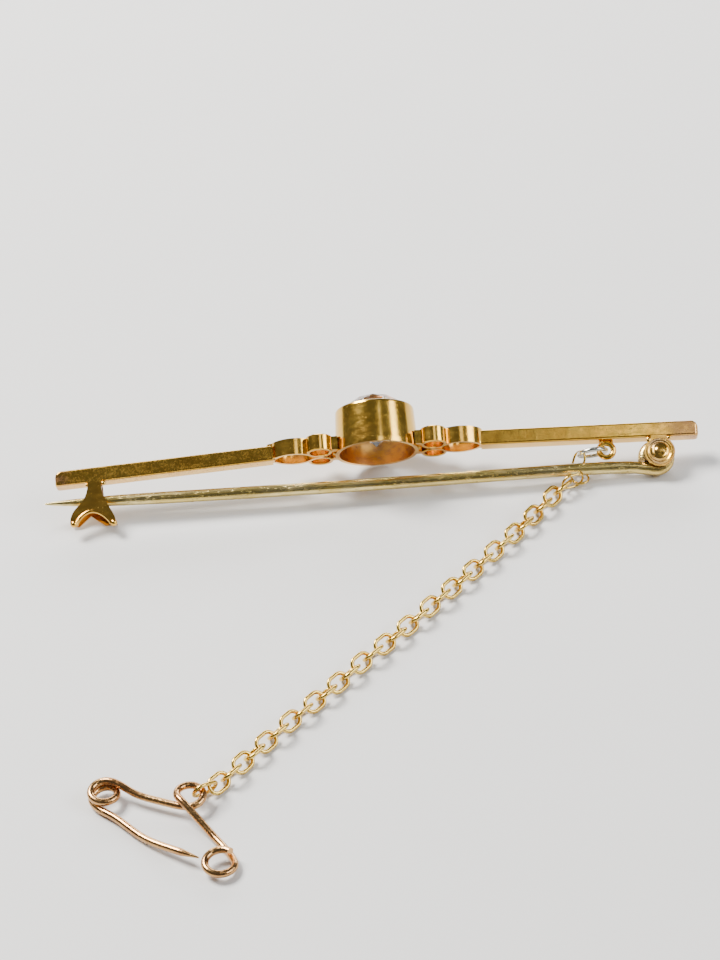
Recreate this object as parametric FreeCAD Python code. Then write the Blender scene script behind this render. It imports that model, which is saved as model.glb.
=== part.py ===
import FreeCAD, Part
import math
import os

V = FreeCAD.Vector
os.makedirs("parts", exist_ok=True)

# Brooch frame of reference: X along the bar, Y away from the viewer, Z out of the front,
# origin on the collet's back plane. The finished part is then laid down on the table.

BAR_REACH_LEFT = 25.2
BAR_REACH_RIGHT = 25.0
BAR_WIDTH = 1.40
BAR_THICKNESS = 1.21
ARM_START = 8.15
ARM_REF = 8.5
ARM_BACK_Z = -0.165
DROOP_LEFT = 0.80
DROOP_RIGHT = 0.486
BAR_EDGE_R = 0.16
BAR_NOSE_R = 0.50
BAR_CORNER_R = 0.32

COLLET_HEIGHT = 3.52
COLLET_R_BACK = 3.25
COLLET_R_FRONT = 3.08

STONE_R = 2.72
GIRDLE_BOTTOM = 3.15
GIRDLE_TOP = 3.23
TABLE_Z = 4.42
TABLE_R = 1.45
CULET_Z = 0.52
BEZEL_SLOPE = 43.1
STAR_SLOPE = 31.4
UPPER_SLOPE = 48.0
MAIN_SLOPE = 44.3
LOWER_SLOPE = 46.6

SCROLL_HEIGHT = 1.30
SCROLL_WALL = 0.25
LOOP_X = 4.45
LOOP_Y = 1.07
LOOP_INNER_R = 0.76

CATCH_HALF_WIDTH = 0.77
CATCH_WALL = 0.22
LIP_R = 0.16
LIP_FOOT_R = 0.27
CATCH_X0 = -22.62
CATCH_X1 = -21.58

HINGE_X = 21.60
HINGE_Z = -2.08
LUG_OUTER_Y = 0.80
LUG_WALL = 0.24
LUG_R = 1.19
LUG_X = 21.87
LUG_Z = -1.81
RIVET_R = 0.40
RIVET_HOLE_R = 0.42

PIN_WIRE_R = 0.49
PIN_LOOP_R = 0.94
PIN_DIP = 10.5

EYE_X = 17.80
EYE_Z = -1.18
EYE_R = 0.56
EYE_WIRE_R = 0.22

RING_R = 1.08
RING_WIRE_R = 0.17
RING_CENTRE = (16.73, 0.12, -1.235)
RING_NORMAL = (-0.09, -0.08, 0.99)

LINK_LENGTH = 2.02
LINK_WIDTH = 1.45
LINK_WIRE_R = 0.15
LINK_COUNT = 34
LEAD_LENGTH = 1.96
LEAD_WIDTH = 1.43
LEAD_WIRE_R = 0.09
# Centre, direction along and direction across each fine link, from the collet's contact point.
LEAD_POSES = (
    ((15.6009, -2.8984, 0.8415), (0.3444, 0.5852, 0.7341), (0.6027, -0.7373, 0.3051)),
    ((15.5517, -4.1696, 0.4552), (0.2755, -0.9613, -0.0024), (0.9609, 0.2754, -0.0279)),
    ((14.9648, -5.1021, 0.8036), (-0.9009, -0.4118, 0.1372), (-0.1877, 0.0845, -0.9786)),
)
LEAD_COUNT = 6
# The last link is longer, and threads the safety pin's ring loop.
END_LENGTH = 2.20
END_WIDTH = 1.52
END_POSE = ((-13.509, -36.336, 0.877), (-0.7194, -0.6085, 0.3350), (0.4903, -0.1032, 0.8654))

SAFETY_WIRE_R = 0.27
SAFETY_TIP_R = 0.06
SAFETY_TAPER = 0.035


def prism_xz(points, y0, y1):
    """Flat plate outlined in the X-Z plane, from y0 to y1."""
    wire = Part.makePolygon([V(x, y0, z) for x, z in points] + [V(points[0][0], y0, points[0][1])])
    return Part.Face(wire).extrude(V(0, y1 - y0, 0))


def spline_edge(points):
    curve = Part.BSplineCurve()
    curve.interpolate(points)
    return curve.toShape()


def round_wire(curve, radius_at, count):
    """Round wire on a smooth path: short ruled lengths between rings that don't twist."""
    first = curve.FirstParameter
    span = curve.LastParameter - first
    facing = V(0, 0, 1)
    turn = FreeCAD.Rotation()
    rings = []
    for k in range(count + 1):
        u = first + span * k / count
        point = curve.value(u)
        along = curve.tangent(u)[0]
        turn = FreeCAD.Rotation(facing, along).multiply(turn)
        facing = along
        ring = Part.Wire(Part.makeCircle(radius_at(k / count, point), V(0, 0, 0), V(0, 0, 1)))
        ring.Placement = FreeCAD.Placement(point, turn)
        rings.append(ring)
    return Part.makeLoft(rings, True, True)


def clean(shape):
    shape = shape.removeSplitter()
    if shape.ShapeType == "Compound" and len(shape.Solids) == 1:
        shape = shape.Solids[0]
    return shape


def bar_arm(side, reach, droop):
    """One straight arm: a soft-edged bar, its end's corners worn round."""
    length = reach - ARM_START
    half = BAR_WIDTH / 2
    nose = Part.Arc(
        V(length, -half, BAR_THICKNESS - BAR_NOSE_R),
        V(length - 0.366 * BAR_NOSE_R, -half, BAR_THICKNESS - 0.293 * BAR_NOSE_R),
        V(length - 1.25 * BAR_NOSE_R, -half, BAR_THICKNESS),
    ).toShape()
    corners = [V(length - 1.25 * BAR_NOSE_R, -half, BAR_THICKNESS), V(0, -half, BAR_THICKNESS), V(0, -half, 0),
               V(length, -half, 0), V(length, -half, BAR_THICKNESS - BAR_NOSE_R)]
    sides = [Part.makeLine(p, q) for p, q in zip(corners, corners[1:])]
    arm = Part.Face(Part.Wire([nose] + sides)).extrude(V(0, BAR_WIDTH, 0))
    upright = [e for e in arm.Edges if abs(e.CenterOfMass.x - length) < 1e-6 and abs(e.CenterOfMass.y) > 1e-6]
    arm = arm.makeFillet(BAR_CORNER_R, upright)
    long_edges = [e for e in arm.Edges if e.Length > length / 2 and e.CenterOfMass.x > 1e-6]
    arm = arm.makeFillet(BAR_EDGE_R, long_edges)
    tilt = math.degrees(math.atan2(droop, reach - ARM_REF))
    arm.rotate(V(0, 0, 0), V(0, 1, 0), tilt)
    arm.translate(V(ARM_START, 0, ARM_BACK_Z + (ARM_REF - ARM_START) * math.tan(math.radians(tilt))))
    if side < 0:
        arm = arm.mirror(V(0, 0, 0), V(1, 0, 0))
    return arm


def collet():
    """Turned setting: plain wall, rubbed-over rim, bearing ledge below the stone."""
    outline = [
        (COLLET_R_BACK, 0.0), (COLLET_R_BACK - 0.005, 0.35), (COLLET_R_FRONT + 0.01, COLLET_HEIGHT - 0.22),
        (COLLET_R_FRONT - 0.03, COLLET_HEIGHT - 0.08), (COLLET_R_FRONT - 0.15, COLLET_HEIGHT - 0.01),
        (2.78, COLLET_HEIGHT), (2.66, 3.47), (2.69, 3.42), (2.80, 3.33), (2.815, 3.06),
        (2.57, 2.86), (2.57, 2.62), (2.84, 2.40), (2.95, 0.0),
    ]
    wire = Part.makePolygon([V(r, 0, z) for r, z in outline] + [V(outline[0][0], 0, outline[0][1])])
    return Part.Face(wire).revolve(V(0, 0, 0), V(0, 0, 1), 360)


def facet(shape, azimuth, slope, radius, z, up):
    """Cut one flat facet that meets the axis distance radius at height z."""
    big = 12.0
    box = Part.makeBox(big, big, big, V(-big / 2, -big / 2, 0))
    if up:
        box.rotate(V(0, 0, 0), V(0, 1, 0), slope)
    else:
        box.rotate(V(0, 0, 0), V(1, 0, 0), 180)
        box.rotate(V(0, 0, 0), V(0, 1, 0), -slope)
    box.translate(V(radius, 0, z))
    box.rotate(V(0, 0, 0), V(0, 0, 1), azimuth)
    return shape.cut(box)


def stone():
    """Round brilliant: table, stars, bezels, girdle facets, pavilion and a small culet."""
    gem = Part.makeCylinder(STONE_R, TABLE_Z - CULET_Z, V(0, 0, CULET_Z))
    for k in range(8):
        gem = facet(gem, 45 * k, BEZEL_SLOPE, STONE_R, GIRDLE_TOP, True)
        gem = facet(gem, 45 * k + 22.5, STAR_SLOPE, TABLE_R * math.cos(math.pi / 8), TABLE_Z, True)
        gem = facet(gem, 45 * k, MAIN_SLOPE, STONE_R, GIRDLE_BOTTOM, False)
        for half in (-11.25, 11.25):
            gem = facet(gem, 45 * k + half, UPPER_SLOPE, STONE_R, GIRDLE_TOP, True)
            gem = facet(gem, 45 * k + half, LOWER_SLOPE, STONE_R, GIRDLE_BOTTOM, False)
    return clean(gem)


def lens_outline(grow):
    """Large pointed loop of a scroll, upper half then mirrored, grown outwards."""
    inner = [
        (4.39, 0.0), (4.78, 0.12), (5.10, 0.33), (5.40, 0.66), (5.80, 0.97), (6.35, 1.13),
        (6.95, 1.06), (7.50, 0.77), (7.89, 0.36), (8.04, 0.0),
    ]
    upper = []
    for k, (x, y) in enumerate(inner):
        xa, ya = inner[max(k - 1, 0)]
        xb, yb = inner[min(k + 1, len(inner) - 1)]
        if k in (0, len(inner) - 1):
            nx, ny = (-1.0, 0.0) if k == 0 else (1.0, 0.0)
        else:
            length = math.hypot(xb - xa, yb - ya)
            nx, ny = -(yb - ya) / length, (xb - xa) / length
        upper.append(V(x + nx * grow, y + ny * grow, 0))
    lower = [V(p.x, -p.y, 0) for p in reversed(upper)]
    return Part.Wire([spline_edge(upper), spline_edge(lower)])


def ring_wall(x, y):
    """Small round loop of strip with softened rims."""
    r0 = LOOP_INNER_R
    r1 = LOOP_INNER_R + SCROLL_WALL
    b = 0.06
    h = SCROLL_HEIGHT
    profile = [(r0, b), (r0 + b, 0), (r1 - b, 0), (r1, b), (r1, h - b), (r1 - b, h), (r0 + b, h), (r0, h - b)]
    wire = Part.makePolygon([V(r, 0, z) for r, z in profile] + [V(profile[0][0], 0, profile[0][1])])
    ring = Part.Face(wire).revolve(V(0, 0, 0), V(0, 0, 1), 360)
    ring.translate(V(x, y, 0))
    return ring


def scroll_group(side):
    """Trefoil of strip loops with its solder seats, on the right; mirrored for the left."""
    body = Part.Face(lens_outline(SCROLL_WALL)).extrude(V(0, 0, SCROLL_HEIGHT))
    if side > 0:
        seat = [(7.85, 0.66), (8.55, 0.62), (8.55, -0.62), (7.85, -0.66)]
        wire = Part.makePolygon([V(x, y, 0) for x, y in seat] + [V(seat[0][0], seat[0][1], 0)])
        body = body.fuse(Part.Face(wire).extrude(V(0, 0, 1.02)))
    else:
        body = body.fuse(Part.makeCylinder(0.36, 1.36, V(8.22, 0, -0.06)))
        body = body.fuse(Part.makeBox(0.5, 1.1, 0.95, V(8.05, -0.55, 0.0)))
    for y in (-LOOP_Y, LOOP_Y):
        body = body.fuse(ring_wall(LOOP_X, y))
        body = body.fuse(Part.makeBox(0.62, 0.66, 1.08, V(3.0, y - 0.33, 0.12)))
    body = body.cut(Part.Face(lens_outline(0.0)).extrude(V(0, 0, 4)).translated(V(0, 0, -1)))
    for y in (-LOOP_Y, LOOP_Y):
        body = body.cut(Part.makeCylinder(LOOP_INNER_R, 4, V(LOOP_X, y, -1)))
    body = body.cut(Part.makeCylinder(COLLET_R_FRONT - 0.05, 6, V(0, 0, -1)))
    if side < 0:
        body = body.mirror(V(0, 0, 0), V(1, 0, 0))
    return body


def cheek(y0, near):
    """One fishtail cheek of the fork catch; the near notch is an arch, the far one a V."""
    foot = 0.0 if near else 0.28
    left = [V(-22.64, y0, -1.05), V(-22.70, y0, -1.45), V(-22.84, y0, -1.90), V(-23.13, y0, -2.41),
            V(-23.70, y0, -2.98), V(-23.98, y0, -3.42), V(-24.10, y0, -4.20 + foot)]
    right = [V(-20.57, y0, -4.34 + foot), V(-20.69, y0, -3.66), V(-20.91, y0, -3.20), V(-21.23, y0, -2.56),
             V(-21.46, y0, -1.97), V(-21.56, y0, -1.45), V(-21.58, y0, -1.05)]
    if near:
        notch = spline_edge([V(-23.60, y0, -4.32), V(-23.35, y0, -3.73), V(-22.43, y0, -3.24),
                             V(-21.40, y0, -3.68), V(-20.96, y0, -4.37)])
        notch_edges = [notch]
        start, end = V(-23.60, y0, -4.32), V(-20.96, y0, -4.37)
    else:
        start, apex, end = V(-23.56, y0, -4.02), V(-22.61, y0, -3.20), V(-21.55, y0, -4.05)
        notch_edges = [Part.makeLine(start, apex), Part.makeLine(apex, end)]
    edges = [
        spline_edge(left), Part.makeLine(left[-1], start), *notch_edges, Part.makeLine(end, right[0]),
        spline_edge(right), Part.makeLine(right[-1], V(CATCH_X1, y0, -0.72)),
        Part.makeLine(V(CATCH_X1, y0, -0.72), V(CATCH_X0 - 0.02, y0, -0.72)),
        Part.makeLine(V(CATCH_X0 - 0.02, y0, -0.72), left[0]),
    ]
    return Part.Face(Part.Wire(edges)).extrude(V(0, CATCH_WALL, 0))


def rolled_lip():
    """Rounded rim and feet that trim the near cheek's arch."""
    y = -CATCH_HALF_WIDTH + 0.06
    rim = spline_edge([V(-23.66, y, -4.24), V(-23.35, y, -3.70), V(-22.43, y, -3.21), V(-21.40, y, -3.65),
                       V(-20.90, y, -4.29)])
    ring = Part.Wire(Part.makeCircle(LIP_R, rim.valueAt(rim.FirstParameter), rim.tangentAt(rim.FirstParameter)))
    feet = [Part.makeSphere(LIP_FOOT_R, V(x, y + 0.02, z)) for x, z in ((-23.84, -4.16), (-20.74, -4.26))]
    return [Part.Wire(rim).makePipeShell([ring], True, True)] + feet


def catch():
    """Folded strip: a base on the bar's back and two cheeks that straddle the pin."""
    base = Part.makeBox(CATCH_X1 - CATCH_X0, 2 * CATCH_HALF_WIDTH, 0.30, V(CATCH_X0, -CATCH_HALF_WIDTH, -1.00))
    near = cheek(-CATCH_HALF_WIDTH, True)
    far = cheek(CATCH_HALF_WIDTH - CATCH_WALL, False)
    return base.fuse([near, far] + rolled_lip())


def lug(y0):
    """Hinge plate: a round ear on a straight neck, drilled for the rivet."""
    disc = Part.makeCylinder(LUG_R, LUG_WALL, V(LUG_X, y0, LUG_Z), V(0, 1, 0))
    neck = prism_xz([(21.30, -0.45), (22.50, -0.50), (22.62, LUG_Z), (21.12, LUG_Z)], y0, y0 + LUG_WALL)
    hole = Part.makeCylinder(RIVET_HOLE_R, LUG_WALL + 2, V(HINGE_X, y0 - 1, HINGE_Z), V(0, 1, 0))
    return disc.fuse(neck).cut(hole)


def eye():
    torus = Part.makeTorus(EYE_R, EYE_WIRE_R, V(0, 0, 0), V(0, 1, 0))
    torus.translate(V(EYE_X, 0, EYE_Z))
    return torus


def brooch_frame():
    parts = [bar_arm(1, BAR_REACH_RIGHT, DROOP_RIGHT), bar_arm(-1, BAR_REACH_LEFT, DROOP_LEFT),
             scroll_group(1), scroll_group(-1), catch(), lug(-LUG_OUTER_Y), lug(LUG_OUTER_Y - LUG_WALL), eye()]
    return clean(collet().fuse(parts))


def hinge_rivet():
    """Shaft with oval worn heads that carry low concentric rings."""
    shaft_half = LUG_OUTER_Y + 0.05
    shaft = Part.makeCylinder(RIVET_R, 2 * shaft_half, V(HINGE_X, -shaft_half, HINGE_Z), V(0, 1, 0))
    profile = [(0, 0.02), (1.04, 0.02), (1.05, 0.06), (0.98, 0.12), (0.90, 0.12), (0.81, 0.07), (0.74, 0.07),
               (0.66, 0.15), (0.56, 0.19), (0.46, 0.15), (0.39, 0.16), (0.25, 0.25), (0, 0.28)]
    heads = []
    for side in (-1, 1):
        pts = [V(r, side * (LUG_OUTER_Y + h), 0) for r, h in profile]
        head = Part.Face(Part.makePolygon(pts + [pts[0]])).revolve(V(0, 0, 0), V(0, 1, 0), 360)
        head.translate(V(LUG_X, 0, LUG_Z))
        heads.append(head)
    return clean(shaft.fuse(heads))


def pin_stem():
    """Loop round the rivet, a dip, then a long slightly bowed stem ending in a point."""
    start = math.radians(-90 - PIN_DIP)
    tangent = V(HINGE_X + PIN_LOOP_R * math.cos(start), 0, HINGE_Z + PIN_LOOP_R * math.sin(start))
    stations = [
        (tangent.x, 0, tangent.z, PIN_WIRE_R), (20.7, -0.01, -2.87, PIN_WIRE_R), (19.95, -0.04, -2.75, PIN_WIRE_R),
        (19.2, -0.08, -2.69, PIN_WIRE_R), (18.0, -0.14, -2.65, PIN_WIRE_R), (14.0, -0.20, -2.60, PIN_WIRE_R),
        (5.0, -0.20, -2.59, PIN_WIRE_R), (-3.0, -0.18, -2.555, PIN_WIRE_R), (-10.0, -0.12, -2.46, 0.485),
        (-17.0, -0.04, -2.325, 0.475), (-20.6, 0, -2.255, 0.43), (-22.3, 0, -2.225, 0.355),
        (-24.0, 0, -2.19, 0.27), (-25.3, 0, -2.16, 0.17), (-26.1, 0, -2.14, 0.07),
    ]
    lead = V(-math.cos(math.radians(PIN_DIP)), 0, math.sin(math.radians(PIN_DIP)))
    path = Part.BSplineCurve()
    path.interpolate(Points=[V(x, y, z) for x, y, z, _ in stations], InitialTangent=lead, FinalTangent=V(-1, 0, 0.03))

    def radius_at(_, point):
        for (x0, _, _, r0), (x1, _, _, r1) in zip(stations, stations[1:]):
            if point.x >= x1:
                return r0 + (r1 - r0) * min(1.0, (x0 - point.x) / (x0 - x1))
        return stations[-1][3]

    stem = round_wire(path, radius_at, 64)
    disc = Part.Face(Part.Wire(Part.makeCircle(PIN_WIRE_R, tangent, lead)))
    loop = disc.revolve(V(HINGE_X, 0, HINGE_Z), V(0, -1, 0), 180 + PIN_DIP + 94)
    return clean(stem.fuse(loop))


def jump_ring():
    ring = Part.makeTorus(RING_R, RING_WIRE_R, V(0, 0, 0), V(*RING_NORMAL))
    ring.translate(V(*RING_CENTRE))
    return ring


def resting_placement():
    """Lay the brooch on three contacts: collet rim, far catch feet and far hinge ear."""
    rim = V(0, COLLET_R_BACK, 0)
    tips = V(-20.57, CATCH_HALF_WIDTH, -4.06)
    ear = V(LUG_X, LUG_OUTER_Y, LUG_Z - LUG_R)
    up = (ear - rim).cross(tips - rim)
    up.normalize()
    if up.z < 0:
        up = up * -1
    along = V(1, 0, 0) - up * up.x
    along.normalize()
    across = up.cross(along)
    matrix = FreeCAD.Matrix(
        along.x, along.y, along.z, 0,
        across.x, across.y, across.z, 0,
        up.x, up.y, up.z, 0,
        0, 0, 0, 1,
    )
    shift = matrix.multVec(rim)
    matrix.A14, matrix.A24, matrix.A34 = -shift.x, -shift.y, -shift.z
    return matrix


def chain_route():
    points = [
        (15.03, -4.58), (13.0, -6.85), (10.0, -10.62), (6.79, -14.30), (2.70, -18.91), (-1.70, -23.60),
        (-6.10, -28.35), (-9.76, -32.30), (-12.0, -34.95), (-13.47, -36.45),
    ]
    curve = Part.BSplineCurve()
    curve.interpolate([V(x, y, 0) for x, y in points])
    return curve


def link(length, width, wire_r):
    """Oval link along X, flat in X-Y: two half tori and two straight wires."""
    bend = width / 2 - wire_r
    half = (length - width) / 2
    disc = Part.Face(Part.Wire(Part.makeCircle(wire_r, V(half, -bend, 0), V(1, 0, 0))))
    right = disc.revolve(V(half, 0, 0), V(0, 0, 1), 180)
    left = right.mirror(V(0, 0, 0), V(1, 0, 0))
    rods = [Part.makeCylinder(wire_r, 2 * half, V(-half, y, 0), V(1, 0, 0)) for y in (-bend, bend)]
    return clean(right.fuse([left] + rods))


def link_roll(k):
    wobble = 5.0 * math.sin(2.1 * k)
    return (45.0 + wobble) if k % 2 else (-45.0 + wobble)


def posed(base, pose):
    """Copy of a link at a centre, with its own X along and its own Y across."""
    centre, along, across = pose
    x = V(*along)
    y = V(*across)
    piece = base.copy()
    piece.Placement = FreeCAD.Placement(V(*centre), FreeCAD.Rotation(x, y, x.cross(y), "XYZ"))
    return piece


def lead_links():
    """Fine links that hang from the jump ring and pass under the pin to the chain."""
    base = link(LEAD_LENGTH, LEAD_WIDTH, LEAD_WIRE_R)
    return [posed(base, pose) for pose in LEAD_POSES]


def chain_links():
    """Links set evenly along the route, each resting on the table, and the last in the pin's loop."""
    route = chain_route()
    stations = route.discretize(LINK_COUNT)
    base = link(LINK_LENGTH, LINK_WIDTH, LINK_WIRE_R)
    bend = LINK_WIDTH / 2 - LINK_WIRE_R
    links = []
    for k, point in enumerate(stations[1:-1], start=1):
        tangent = route.tangent(route.parameter(point))[0]
        roll = link_roll(k)
        z = LINK_WIRE_R + bend * abs(math.sin(math.radians(roll)))
        piece = base.copy()
        piece.rotate(V(0, 0, 0), V(1, 0, 0), roll)
        piece.rotate(V(0, 0, 0), V(0, 0, 1), math.degrees(math.atan2(tangent.y, tangent.x)))
        piece.translate(V(point.x, point.y, z))
        links.append(piece)
    return links + [posed(link(END_LENGTH, END_WIDTH, LINK_WIRE_R), END_POSE)]


def arc_points(cx, cy, radius, a0, a1, z0, z1, count):
    out = []
    for k in range(count + 1):
        t = k / count
        a = math.radians(a0 + (a1 - a0) * t)
        out.append(V(cx + radius * math.cos(a), cy + radius * math.sin(a), z0 + (z1 - z0) * t))
    return out


def safety_pin():
    """One bent wire: pointed arm, coil, arm with a ring loop, closed end loop."""
    low = SAFETY_WIRE_R + 0.01
    high = low + 2 * SAFETY_WIRE_R + 0.06
    path = [V(-13.90, -43.08, low + 0.50), V(-16.11, -41.59, low + 0.25), V(-17.9, -40.10, low)]
    path += [V(-20.1, -37.72, low)]
    path += list(reversed(arc_points(-20.64, -35.91, 0.92, 61.6, 222.4 + 360, high + 0.28, low, 14)))
    path += [V(-18.6, -36.1, low + 0.55), V(-16.6, -37.13, low + 0.42)]
    path += arc_points(-14.51, -37.05, 0.92, 241.6, 577.3, low + 0.45, low + 1.05, 11)
    path += [V(-14.2, -38.95, low + 0.60), V(-12.9, -40.65, low)]
    path += arc_points(-12.48, -43.52, 1.02, 25, -318, low, low + 0.60, 12)
    curve = Part.BSplineCurve()
    curve.interpolate(path)

    def radius_at(part, _):
        return SAFETY_TIP_R + (SAFETY_WIRE_R - SAFETY_TIP_R) * min(1.0, part / SAFETY_TAPER)

    return round_wire(curve, radius_at, 200)


def main():
    place = resting_placement()
    up = (place.A31, place.A32, place.A33)
    print("up in brooch axes", [round(v, 5) for v in up])
    world = {}
    for name, build in (("brooch_frame", brooch_frame), ("stone", stone), ("hinge_rivet", hinge_rivet),
                        ("pin_stem", pin_stem), ("jump_ring", jump_ring)):
        shape = build()
        world[name] = shape.transformShape(place, True)
    links = lead_links() + chain_links()
    world["chain_lead"] = Part.makeCompound(links[:LEAD_COUNT])
    world["safety_chain"] = Part.makeCompound(links[LEAD_COUNT:])
    world["safety_pin"] = safety_pin()
    world["safety_pin"].translate(V(0, 0, -world["safety_pin"].optimalBoundingBox().ZMin))
    box = Part.makeCompound(list(world.values())).optimalBoundingBox()
    shift = V(-(box.XMin + box.XMax) / 2, -(box.YMin + box.YMax) / 2, -box.ZMin)
    print("shift", [round(v, 5) for v in shift])
    hinge = place.multVec(V(HINGE_X, 0, HINGE_Z)) + shift
    print("hinge at", [round(v, 4) for v in hinge], "axis", [round(-v, 6) for v in (place.A12, place.A22, place.A32)])
    for name, shape in world.items():
        shape.translate(shift)
        shape.exportStep("parts/" + name + ".step")
        print(name, len(shape.Solids), "solids", shape.isValid(), "volume", round(shape.Volume, 3),
              "low", round(shape.optimalBoundingBox().ZMin, 3), "high", round(shape.optimalBoundingBox().ZMax, 3))
    total = Part.makeCompound(list(world.values())).optimalBoundingBox()
    print("size", round(total.XLength, 2), round(total.YLength, 2), round(total.ZLength, 2))


main()
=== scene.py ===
"""Dresses the bar brooch's frame: worn golds, a cut stone, the safety chain and its pin, and a pale studio."""

import math

import bmesh
import bpy
from mathutils import Matrix, Vector


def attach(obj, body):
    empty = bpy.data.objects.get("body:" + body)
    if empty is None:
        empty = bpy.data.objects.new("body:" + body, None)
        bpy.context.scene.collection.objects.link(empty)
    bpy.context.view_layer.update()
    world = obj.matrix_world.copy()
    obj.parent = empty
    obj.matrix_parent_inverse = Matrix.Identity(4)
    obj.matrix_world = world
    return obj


bl_info = {
    "name": "Bar brooch with safety chain",
    "version": (1, 0, 0),
    "blender": (4, 5, 0),
    "location": "3D View > Sidebar > Brooch",
    "description": "Builds the looks of a bar brooch, its stone, chain and safety pin",
    "category": "Object",
}

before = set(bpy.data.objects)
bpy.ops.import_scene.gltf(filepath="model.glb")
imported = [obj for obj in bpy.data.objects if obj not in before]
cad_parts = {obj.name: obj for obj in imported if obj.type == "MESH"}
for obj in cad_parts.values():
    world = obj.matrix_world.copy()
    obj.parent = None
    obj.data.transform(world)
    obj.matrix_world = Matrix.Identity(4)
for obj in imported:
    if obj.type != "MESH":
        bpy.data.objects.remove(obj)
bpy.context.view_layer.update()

# The brooch lies tipped on its collet rim; LAID turns its own axes (bar, depth, front) into the frame's.
UP = Vector((-0.013680, -0.820990, 0.570780)).normalized()
ALONG = (Vector((1, 0, 0)) - UP * UP.x).normalized()
ACROSS = UP.cross(ALONG)
LAID = Matrix((ALONG, ACROSS, UP))
SHIFT = Vector((0.51416, 21.04983, 0.00037))
RIM = Vector((0, 3.25, 0))  # the collet's far rim, about which it tips
HOME = SHIFT - LAID @ RIM

# The fitted camera: roll and yaw in radians, its aim right and up in millimetres, focal length in picture rows.
CAMERA_ROLL = -0.105451
CAMERA_YAW = -0.032383
AIM_RIGHT = 1.4629
AIM_UP = 1.1424
FOCAL_ROWS = 3264
PICTURE_ROWS = 960
SENSOR_MM = 36.0


def laid(x, y, z):
    """A point in the brooch's own axes, in millimetres, as a point of the frame in metres."""
    return (LAID @ Vector((x, y, z)) + HOME) / 1000


# Solder beads: place in the brooch's own axes and radius in millimetres, and how each is drawn out.
BEADS = (
    ((-21.42, -0.66, -0.98), 0.17, (1.2, 0.8, 1.0)),
    ((-22.72, -0.66, -1.02), 0.12, (1.0, 0.8, 1.2)),
    ((21.10, -0.72, -0.80), 0.20, (0.9, 0.6, 1.3)),
    ((22.70, -0.72, -0.72), 0.15, (1.2, 0.6, 0.9)),
    ((17.45, -0.12, -0.52), 0.15, (1.4, 1.0, 0.7)),
    ((18.22, 0.10, -0.53), 0.13, (1.3, 1.0, 0.7)),
    ((8.20, -0.58, 0.02), 0.16, (1.3, 0.7, 0.8)),
    ((-8.20, -0.58, 0.02), 0.15, (1.3, 0.7, 0.8)),
    ((3.28, -0.42, 0.10), 0.18, (0.8, 1.2, 0.9)),
    ((-3.30, -0.40, 0.12), 0.16, (0.8, 1.2, 0.9)),
)


class BroochMetalSettings(bpy.types.PropertyGroup):
    gold: bpy.props.FloatVectorProperty(
        name="Gold", description="Colour of the bar, scrolls and collet", subtype="COLOR", size=3,
        min=0, max=1, default=(0.74, 0.42, 0.06))
    # Painted reflection: a warmer orange gold painted where gold faces gold, inside the collet, in the scroll holes
    # and on the back.
    painted_reflection_gold: bpy.props.FloatVectorProperty(
        name="Deep gold", description="Orange gold seen inside the collet and scrolls", subtype="COLOR", size=3,
        min=0, max=1, default=(0.88, 0.47, 0.13))
    pin_gold: bpy.props.FloatVectorProperty(
        name="Pin gold", description="Paler greenish gold of the pin", subtype="COLOR", size=3,
        min=0, max=1, default=(0.66, 0.50, 0.15))
    rose: bpy.props.FloatVectorProperty(
        name="Rosy tarnish", description="Tarnish on the bar's ends and the safety pin", subtype="COLOR", size=3,
        min=0, max=1, default=(0.46, 0.22, 0.13))
    silver: bpy.props.FloatVectorProperty(
        name="Silver", description="Colour of the jump ring", subtype="COLOR", size=3,
        min=0, max=1, default=(0.74, 0.74, 0.68))
    wear: bpy.props.FloatProperty(
        name="Wear", description="Roughness of the handled metal", subtype="FACTOR", min=0.05, max=0.8, default=0.24)


class BroochStoneSettings(bpy.types.PropertyGroup):
    tint: bpy.props.FloatVectorProperty(
        name="Tint", description="Colour of the clear stone", subtype="COLOR", size=3,
        min=0, max=1, default=(0.86, 0.89, 0.88))


class BroochStudioSettings(bpy.types.PropertyGroup):
    floor: bpy.props.FloatVectorProperty(
        name="Floor", description="Colour of the table", subtype="COLOR", size=3,
        min=0, max=1, default=(0.80, 0.79, 0.77))
    distance: bpy.props.FloatProperty(
        name="Camera distance", description="From the camera to the brooch", unit="LENGTH",
        min=0.05, max=1.0, default=0.257714)
    elevation: bpy.props.FloatProperty(
        name="Camera elevation", description="Camera's height above the horizon", subtype="ANGLE",
        min=0, max=1.57, default=0.662751)


class Wire:
    """One socket of a node tree. Arithmetic on it adds Math nodes; node() adds any other."""

    def __init__(self, tree, socket=None):
        self.tree = tree
        self.socket = socket

    def node(self, kind, settings=(), values=(), out=0):
        made = self.tree.nodes.new(kind)
        for key, value in dict(settings).items():
            if key == "stops":
                ramp = made.color_ramp
                while len(ramp.elements) < len(value):
                    ramp.elements.new(0.5)
                for stop, (place, colour) in zip(ramp.elements, value):
                    stop.position = place
                    stop.color = colour
            else:
                setattr(made, key, value)
        for key, value in dict(values).items():
            if isinstance(value, Wire):
                self.tree.links.new(value.socket, made.inputs[key])
            elif value is not None:
                made.inputs[key].default_value = value
        return Wire(self.tree, made.outputs[out])

    def _math(self, operation, first, second):
        return self.node("ShaderNodeMath", {"operation": operation}, {0: first, 1: second})

    def __add__(self, other):
        return self._math("ADD", self, other)

    def __radd__(self, other):
        return self._math("ADD", other, self)

    def __sub__(self, other):
        return self._math("SUBTRACT", self, other)

    def __rsub__(self, other):
        return self._math("SUBTRACT", other, self)

    def __mul__(self, other):
        return self._math("MULTIPLY", self, other)

    def __rmul__(self, other):
        return self._math("MULTIPLY", other, self)

    def __truediv__(self, other):
        return self._math("DIVIDE", self, other)


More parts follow.
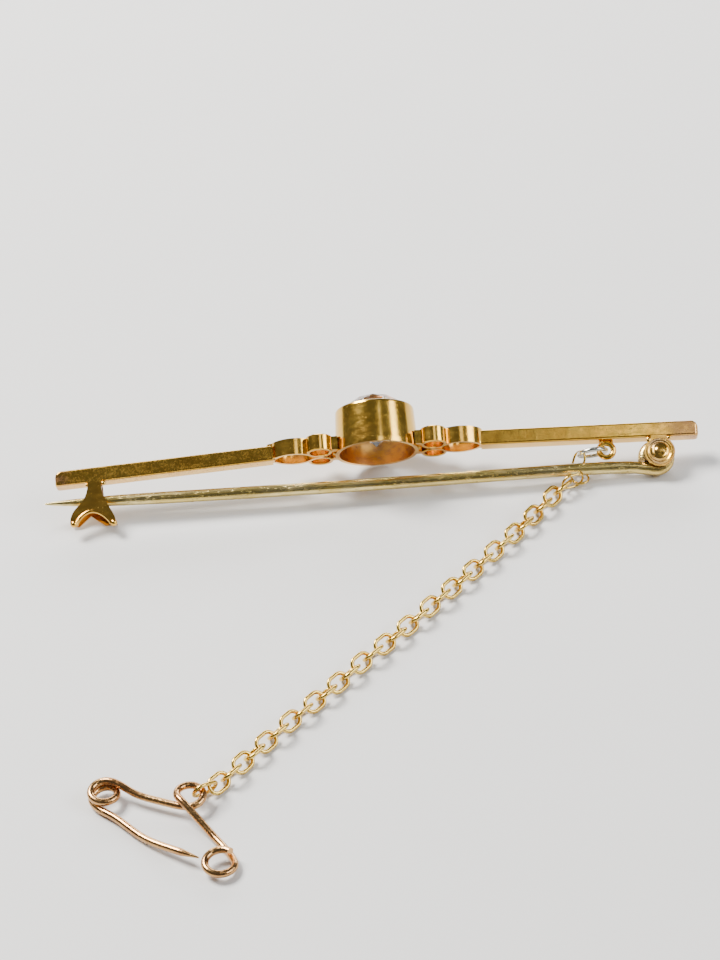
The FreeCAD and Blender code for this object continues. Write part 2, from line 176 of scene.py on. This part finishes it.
def start_material(name):
    """A new material with its shader, the Object coordinates in millimetres and a first wire."""
    material = bpy.data.materials.new(name)
    material.use_nodes = True
    tree = material.node_tree
    shader = next(n for n in tree.nodes if n.type == "BSDF_PRINCIPLED")
    wire = Wire(tree)
    here = wire.node("ShaderNodeTexCoord", out=3)
    millimetres = wire.node("ShaderNodeVectorMath", {"operation": "SCALE"}, {0: here, "Scale": 1000.0})
    return material, tree, shader, wire, millimetres


def own_axes(wire, point):
    """The point in the brooch's own axes: x along the bar, y away, z out of the front."""
    back = LAID.transposed()
    spot = back @ -HOME
    turn = back.to_euler("XYZ")
    return wire.node("ShaderNodeMapping", {"vector_type": "POINT"},
                     {"Vector": point, "Location": tuple(spot), "Rotation": tuple(turn)})


def noise(wire, point, scale, detail=3.0, roughness=0.55, stretch=(1, 1, 1)):
    """Soft noise from 0 to 1 at so many cells per millimetre, stretched along the axes."""
    spot = wire.node("ShaderNodeMapping", {"vector_type": "POINT"}, {"Vector": point, "Scale": stretch})
    return wire.node("ShaderNodeTexNoise", {"noise_dimensions": "3D"},
                     {"Vector": spot, "Scale": scale, "Detail": detail, "Roughness": roughness})


def band(wire, value, low, high):
    """0 below low, 1 above high, smooth between."""
    return wire.node("ShaderNodeMapRange", {"interpolation_type": "SMOOTHSTEP", "clamp": True},
                     {"Value": value, "From Min": low, "From Max": high})


def blend(wire, factor, first, second):
    """Mix of two colours."""
    def full(colour):
        return colour if isinstance(colour, Wire) else (*tuple(colour)[:3], 1.0)
    return wire.node("ShaderNodeMix", {"data_type": "RGBA"}, {0: factor, 6: full(first), 7: full(second)}, out=2)


def split(wire, point):
    made = wire.node("ShaderNodeSeparateXYZ", values={0: point})
    outs = made.socket.node.outputs
    return Wire(wire.tree, outs[0]), Wire(wire.tree, outs[1]), Wire(wire.tree, outs[2])


def scratches(wire, point, across):
    """Fine hairlines drawn out along X and a few across, as a height from 0 to 1."""
    fine = noise(wire, point, 9.0, 2.0, 0.7, (0.06, 1.0, 1.0))
    cross = noise(wire, point, 6.0, 1.0, 0.5, across)
    return band(wire, fine, 0.64, 0.76) * 0.5 + band(wire, cross, 0.70, 0.78) * 0.3


def finish_metal(tree, wire, shader, colour, rough, height, bump=0.15, distance=0.00002):
    relief = wire.node("ShaderNodeBump", values={"Height": height, "Strength": bump, "Distance": distance})
    tree.links.new(colour.socket, shader.inputs["Base Color"])
    tree.links.new(rough.socket, shader.inputs["Roughness"])
    tree.links.new(relief.socket, shader.inputs["Normal"])
    shader.inputs["Metallic"].default_value = 1.0


def frame_gold(settings):
    """Worn yellow gold with painted reflection: a warmer orange painted inside the collet and scrolls and on the
    back, where gold faces gold; rosy at the bar's ends, hairline scratches.
    """
    material, tree, shader, wire, point = start_material("frame_gold_worn_and_painted_reflection")
    own = own_axes(wire, point)
    x, y, z = split(wire, own)
    radius = wire.node("ShaderNodeVectorMath", {"operation": "LENGTH"},
                       {0: wire.node("ShaderNodeCombineXYZ", values={0: x, 1: y, 2: 0.0})}, out=1)
    # Mask inside the collet's wall below its rim, where the painted reflection tint goes; this area is also made
    # rougher below.
    inside = (1.0 - band(wire, radius, 2.97, 3.02)) * (1.0 - band(wire, z, 3.2, 3.4))
    cloud = noise(wire, own, 0.55, 4.0, 0.6)
    blotch = noise(wire, own, 2.3, 3.0, 0.6, (0.5, 1, 1))
    right_end = band(wire, x, 20.0, 24.8) * band(wire, cloud, 0.30, 0.62)
    left_end = (1.0 - band(wire, x, -24.9, -23.6)) * band(wire, blotch, 0.35, 0.6) * 0.6
    upper = band(wire, y, 0.35, 0.75) * band(wire, blotch, 0.42, 0.66) * 0.55
    # Mask for the back of the brooch, where the painted reflection tint goes.
    behind = 1.0 - band(wire, z, -1.6, -0.4)
    # Mask for the scroll holes, where the painted reflection tint goes.
    holes = band(wire, z, -0.2, 0.0) * (1.0 - band(wire, z, 1.32, 1.36)) * (1.0 - band(wire, radius, 8.3, 8.5))
    colour = blend(wire, band(wire, cloud, 0.35, 0.7) * 0.5, settings.gold, (0.80, 0.54, 0.10))
    left_arm = (1.0 - band(wire, x, -9.0, -7.6)) * band(wire, z, -1.1, -0.8)
    grain = band(wire, noise(wire, own, 5.5, 3.0, 0.7), 0.42, 0.62)
    colour = blend(wire, grain * left_arm * 0.5, colour, (0.40, 0.20, 0.05))
    # Painted reflection: the next three blends paint the warmer orange gold in the scroll holes, inside the collet
    # and on the back.
    colour = blend(wire, holes * 0.12, colour, settings.painted_reflection_gold)
    colour = blend(wire, inside * 0.9, colour, settings.painted_reflection_gold)
    colour = blend(wire, behind * 0.25, colour, settings.painted_reflection_gold)
    colour = blend(wire, right_end * 0.75, colour, settings.rose)
    colour = blend(wire, left_end, colour, settings.rose)
    colour = blend(wire, upper, colour, settings.rose)
    lines = scratches(wire, own, (1.0, 0.12, 0.5))
    specks = band(wire, noise(wire, own, 7.0, 2.0, 0.6), 0.66, 0.72)
    colour = blend(wire, specks * 0.35, colour, (0.30, 0.17, 0.08))
    rough = band(wire, blotch, 0.3, 0.75) * 0.10 + settings.wear * 0.55
    rough = rough + lines * 0.08 + right_end * 0.12 + specks * 0.12 + inside * 0.16 + grain * left_arm * 0.12
    height = lines * -0.5 + noise(wire, own, 1.1, 2.0) * 1.2 + specks * -0.4
    finish_metal(tree, wire, shader, colour, rough, height, 0.22)
    return material


def pin_gold(settings):
    """Paler pin wire with long drawing marks and darker smudges."""
    material, tree, shader, wire, point = start_material("pin_gold_worn")
    own = own_axes(wire, point)
    x = split(wire, own)[0]
    drawn = noise(wire, own, 5.0, 3.0, 0.7, (0.03, 1, 1))
    cloud = noise(wire, own, 0.5, 3.0, 0.6, (0.6, 1, 1))
    smudge = noise(wire, own, 1.8, 4.0, 0.65, (0.35, 1, 1))
    colour = blend(wire, band(wire, cloud, 0.35, 0.68), settings.pin_gold, (0.76, 0.62, 0.28))
    colour = blend(wire, band(wire, smudge, 0.55, 0.75) * 0.5, colour, (0.47, 0.33, 0.16))
    colour = blend(wire, band(wire, x, 18.5, 22.0) * 0.35, colour, settings.gold)
    lines = band(wire, drawn, 0.48, 0.66)
    pits = band(wire, noise(wire, own, 6.0, 2.0, 0.7, (0.3, 1, 1)), 0.60, 0.70)
    colour = blend(wire, lines * 0.45, colour, (0.36, 0.25, 0.07))
    colour = blend(wire, pits * 0.45, colour, (0.26, 0.17, 0.06))
    rough = lines * 0.14 + settings.wear * 0.95 + band(wire, smudge, 0.5, 0.8) * 0.14 + pits * 0.15
    finish_metal(tree, wire, shader, colour, rough, drawn * 2.4 + smudge * 0.8 - pits * 1.2, 0.55)
    return material


def fine_metal(name, first, second, settings, dark=(0.25, 0.14, 0.07), dirt=0.35):
    """Small polished wire work: two tones, grime in patches, light bump."""
    material, tree, shader, wire, point = start_material(name)
    cloud = noise(wire, point, 0.45, 3.0, 0.6)
    grime = noise(wire, point, 2.6, 3.0, 0.65)
    colour = blend(wire, band(wire, cloud, 0.35, 0.65), first, second)
    colour = blend(wire, band(wire, grime, 0.58, 0.72) * dirt, colour, dark)
    rough = band(wire, grime, 0.4, 0.75) * 0.18 + settings.wear * 0.7
    finish_metal(tree, wire, shader, colour, rough, grime, 0.25)
    return material


def stone_glass(settings):
    """Clear colourless stone with faint dust on its facets."""
    material, tree, shader, wire, point = start_material("stone_clear")
    dust = noise(wire, point, 3.0, 4.0, 0.65)
    rough = band(wire, dust, 0.62, 0.8) * 0.08
    tree.links.new(rough.socket, shader.inputs["Roughness"])
    shader.inputs["Base Color"].default_value = (*settings.tint, 1.0)
    shader.inputs["Transmission Weight"].default_value = 1.0
    shader.inputs["IOR"].default_value = 1.66
    return material


def table_paint(settings):
    material, tree, shader, wire, point = start_material("studio_floor")
    mottle = noise(wire, point, 0.05, 2.0)
    colour = blend(wire, band(wire, mottle, 0.3, 0.7), settings.floor, tuple(c * 0.985 for c in settings.floor))
    tree.links.new(colour.socket, shader.inputs["Base Color"])
    shader.inputs["Roughness"].default_value = 0.45
    return material


def paint(piece, material):
    piece.data.materials.clear()
    piece.data.materials.append(material)


def paint_node(node, material):
    """Gives a CAD node the material in its object's own slot."""
    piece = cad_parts[node]
    for slot in piece.material_slots:
        slot.link = "OBJECT"
        slot.material = material


class BROOCH_OT_metalwork(bpy.types.Operator):
    """Finish the soldered metalwork: bar, collet, scrolls, catch, hinge ears and eye"""

    bl_idname = "brooch.metalwork"
    bl_label = "Metalwork"

    def execute(self, context):
        paint_node("brooch_frame", frame_gold(context.scene.brooch_metal))
        return {"FINISHED"}


class BROOCH_OT_solder(bpy.types.Operator):
    """Add the small beads of solder left where the pieces were joined"""

    bl_idname = "brooch.solder"
    bl_label = "Solder beads"

    def execute(self, context):
        beads = bmesh.new()
        for spot, radius, squeeze in BEADS:
            made = bmesh.ops.create_icosphere(beads, subdivisions=3, radius=radius / 1000)["verts"]
            bmesh.ops.scale(beads, verts=made, vec=squeeze)
            bmesh.ops.rotate(beads, verts=made, matrix=LAID, cent=(0, 0, 0))
            bmesh.ops.translate(beads, verts=made, vec=laid(*spot))
        for face in beads.faces:
            face.smooth = True
        mesh = bpy.data.meshes.new("solder_beads")
        beads.to_mesh(mesh)
        beads.free()
        piece = bpy.data.objects.new("solder_beads", mesh)
        context.collection.objects.link(piece)
        paint(piece, fine_metal("solder_gold", (0.84, 0.56, 0.14), (0.70, 0.42, 0.10), context.scene.brooch_metal))
        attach(piece, "brooch")
        return {"FINISHED"}


class BROOCH_OT_stone(bpy.types.Operator):
    """Finish the cut stone"""

    bl_idname = "brooch.stone"
    bl_label = "Stone"

    def execute(self, context):
        paint_node("stone", stone_glass(context.scene.brooch_stone))
        return {"FINISHED"}


class BROOCH_OT_pin(bpy.types.Operator):
    """Finish the hinged pin and its rivet"""

    bl_idname = "brooch.pin"
    bl_label = "Pin and rivet"

    def execute(self, context):
        metal = context.scene.brooch_metal
        paint_node("pin_stem", pin_gold(metal))
        paint_node("hinge_rivet", fine_metal("rivet_gold", metal.gold, (0.62, 0.40, 0.20), metal, dirt=0.55))
        return {"FINISHED"}


class BROOCH_OT_chain(bpy.types.Operator):
    """Finish the jump ring and the safety chain"""

    bl_idname = "brooch.chain"
    bl_label = "Jump ring and chain"

    def execute(self, context):
        metal = context.scene.brooch_metal
        paint_node("jump_ring", fine_metal("ring_silver", metal.silver, (0.58, 0.57, 0.50), metal, dirt=0.2))
        gold = fine_metal("chain_gold", (0.78, 0.53, 0.12), (0.70, 0.44, 0.09), metal, dirt=0.4)
        paint_node("chain_lead", gold)
        paint_node("safety_chain", gold)
        return {"FINISHED"}


class BROOCH_OT_safety_pin(bpy.types.Operator):
    """Finish the small safety pin"""

    bl_idname = "brooch.safety_pin"
    bl_label = "Safety pin"

    def execute(self, context):
        metal = context.scene.brooch_metal
        paint_node("safety_pin", fine_metal("safety_gold", (0.60, 0.35, 0.14), (0.46, 0.23, 0.09), metal, dirt=0.5))
        return {"FINISHED"}


def aim_camera(studio):
    """Camera fitted to the photograph: 122.4 mm lens, its place and roll from the resting brooch."""
    elevation = studio.elevation
    forward = Vector((0, math.cos(elevation), -math.sin(elevation)))
    level, rise = Vector((1, 0, 0)), Vector((0, math.sin(elevation), math.cos(elevation)))
    right = level * math.cos(CAMERA_ROLL) + rise * math.sin(CAMERA_ROLL)
    top = rise * math.cos(CAMERA_ROLL) - level * math.sin(CAMERA_ROLL)
    place = -forward * studio.distance * 1000 - right * AIM_RIGHT - top * AIM_UP
    turn = Matrix.Rotation(-CAMERA_YAW, 3, "Z")
    axes = turn @ Matrix((right, top, -forward)).transposed()
    data = bpy.data.cameras.new("view")
    data.sensor_fit = "VERTICAL"
    data.sensor_height = SENSOR_MM
    data.lens = FOCAL_ROWS * SENSOR_MM / PICTURE_ROWS
    data.clip_start = 0.005
    camera = bpy.data.objects.new("view", data)
    bpy.context.collection.objects.link(camera)
    camera.matrix_world = Matrix.Translation((turn @ place + SHIFT) / 1000) @ axes.to_4x4()
    bpy.context.scene.camera = camera


def soft_light(name, place, target, size, power, colour):
    data = bpy.data.lights.new(name, "AREA")
    data.shape = "RECTANGLE"
    data.size, data.size_y = size
    data.energy = power
    data.color = colour
    lamp = bpy.data.objects.new(name, data)
    bpy.context.collection.objects.link(lamp)
    lamp.location = place
    lamp.rotation_euler = (Vector(target) - Vector(place)).to_track_quat("-Z", "Y").to_euler()


class BROOCH_OT_stage(bpy.types.Operator):
    """Camera at the photograph's angle, pale table and soft light"""

    bl_idname = "brooch.stage"
    bl_label = "Stage"

    def execute(self, context):
        studio = context.scene.brooch_studio
        aim_camera(studio)
        mesh = bpy.data.meshes.new("studio_floor")
        sheet = bmesh.new()
        bmesh.ops.create_grid(sheet, x_segments=4, y_segments=4, size=0.9)
        bmesh.ops.translate(sheet, verts=sheet.verts, vec=(0, 0, -0.00002))
        sheet.to_mesh(mesh)
        sheet.free()
        table = bpy.data.objects.new("studio_floor", mesh)
        context.collection.objects.link(table)
        paint(table, table_paint(studio))
        soft_light("window", (-0.28, 0.22, 0.42), (0, 0.01, 0), (0.22, 0.22), 7.5, (1.0, 0.98, 0.95))
        soft_light("fill", (0.40, -0.10, 0.30), (0, 0, 0), (0.35, 0.20), 2.0, (0.93, 0.96, 1.0))
        soft_light("back", (0.05, 0.55, 0.20), (0, 0.02, 0), (0.60, 0.12), 2.5, (1.0, 1.0, 1.0))
        soft_light("card", (0.12, -0.13, 0.47), (0.02, 0.01, 0), (0.12, 0.10), 0.10, (1.0, 0.99, 0.94))
        world = bpy.data.worlds.new("studio")
        context.scene.world = world
        world.use_nodes = True
        sky = next(n for n in world.node_tree.nodes if n.type == "BACKGROUND")
        sky.inputs["Color"].default_value = (0.80, 0.82, 0.86, 1.0)
        sky.inputs["Strength"].default_value = 0.16
        return {"FINISHED"}


class BROOCH_PT_panel(bpy.types.Panel):
    """Lists the brooch's settings and steps"""

    bl_label = "Bar brooch"
    bl_idname = "BROOCH_PT_panel"
    bl_space_type = "VIEW_3D"
    bl_region_type = "UI"
    bl_category = "Brooch"

    def draw(self, context):
        column = self.layout.column()
        scene = context.scene
        for group in (scene.brooch_metal, scene.brooch_stone, scene.brooch_studio):
            for name in group.__annotations__:
                column.prop(group, name)
        for step in STEPS:
            column.operator(step.bl_idname)


STEPS = (BROOCH_OT_stage, BROOCH_OT_metalwork, BROOCH_OT_solder, BROOCH_OT_stone, BROOCH_OT_pin, BROOCH_OT_chain,
         BROOCH_OT_safety_pin)
GROUPS = {"brooch_metal": BroochMetalSettings, "brooch_stone": BroochStoneSettings,
          "brooch_studio": BroochStudioSettings}


def register():
    for name, group in GROUPS.items():
        bpy.utils.register_class(group)
        setattr(bpy.types.Scene, name, bpy.props.PointerProperty(type=group))
    for step in STEPS:
        bpy.utils.register_class(step)
    bpy.utils.register_class(BROOCH_PT_panel)


def unregister():
    bpy.utils.unregister_class(BROOCH_PT_panel)
    for step in reversed(STEPS):
        bpy.utils.unregister_class(step)
    for name, group in GROUPS.items():
        delattr(bpy.types.Scene, name)
        bpy.utils.unregister_class(group)


def main():
    register()
    bpy.ops.brooch.stage()
    bpy.ops.brooch.metalwork()
    bpy.ops.brooch.solder()
    bpy.ops.brooch.stone()
    bpy.ops.brooch.pin()
    bpy.ops.brooch.chain()
    bpy.ops.brooch.safety_pin()


if __name__ == "__main__":
    main()
